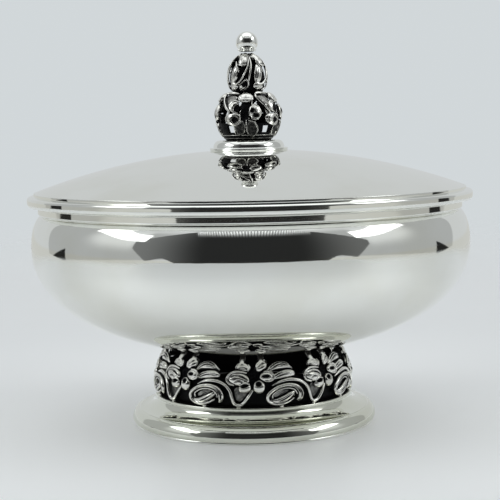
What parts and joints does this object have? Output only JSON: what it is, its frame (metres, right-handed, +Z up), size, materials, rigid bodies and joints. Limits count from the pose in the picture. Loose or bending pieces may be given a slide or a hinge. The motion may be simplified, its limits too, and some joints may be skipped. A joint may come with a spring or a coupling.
{
  "type": "covered sugar bowl",
  "caption": "Round bellied sugar bowl of polished silver on a low spun foot with a pierced ring of flowers and leaves, and a domed lift-off lid with a pierced flower-bud finial.",
  "frame": {"origin": "centre of the foot on the table", "axes": "+Z up along the bowl's axis of turning, the way the lid lifts; the front flower of the foot faces -Y"},
  "size_m": [0.13, 0.13, 0.1146],
  "materials": {
    "polished_silver": "hand-polished sterling silver, mirror bright with fine handling marks",
    "cast_silver": "cast and chased silver, bright on the high points and blackened with oxide in the recesses"
  },
  "bodies": {
    "bowl": {"bowl_shell": "polished_silver", "bowl_mouth_wire": "polished_silver", "foot_flare": "polished_silver", "foot_edge_wire": "polished_silver", "foot_seat_ring": "polished_silver", "foot_flower_1": "cast_silver", "foot_flower_2": "cast_silver", "foot_flower_3": "cast_silver", "foot_flower_4": "cast_silver", "foot_flower_5": "cast_silver", "foot_flower_6": "cast_silver", "foot_flower_7": "cast_silver", "foot_flower_8": "cast_silver", "foot_leaf_pair_1": "cast_silver", "foot_leaf_pair_2": "cast_silver", "foot_leaf_pair_3": "cast_silver", "foot_leaf_pair_4": "cast_silver", "foot_leaf_pair_5": "cast_silver", "foot_leaf_pair_6": "cast_silver", "foot_leaf_pair_7": "cast_silver", "foot_leaf_pair_8": "cast_silver", "foot_scroll_leaf_1": "cast_silver", "foot_scroll_leaf_2": "cast_silver", "foot_scroll_leaf_3": "cast_silver", "foot_scroll_leaf_4": "cast_silver", "foot_scroll_leaf_5": "cast_silver", "foot_scroll_leaf_6": "cast_silver", "foot_scroll_leaf_7": "cast_silver", "foot_scroll_leaf_8": "cast_silver"},
    "lid": {"lid_dome": "polished_silver", "lid_rim_moulding": "polished_silver", "lid_bezel": "polished_silver", "finial_flange": "polished_silver", "finial_gallery": "cast_silver", "finial_flower_1": "cast_silver", "finial_flower_2": "cast_silver", "finial_flower_3": "cast_silver", "finial_flower_4": "cast_silver", "finial_curl_leaf_1": "cast_silver", "finial_curl_leaf_2": "cast_silver", "finial_curl_leaf_3": "cast_silver", "finial_curl_leaf_4": "cast_silver", "finial_bud_leaf_1": "cast_silver", "finial_bud_leaf_2": "cast_silver", "finial_bud_leaf_3": "cast_silver", "finial_bud_leaf_4": "cast_silver", "finial_collar": "cast_silver", "finial_ball": "polished_silver"}
  },
  "joints": [
    {"name": "lid_lift", "type": "slide", "parent": "bowl", "child": "lid", "axis": [0, 0, 1], "range_m": [0, 0.1]}
  ]
}
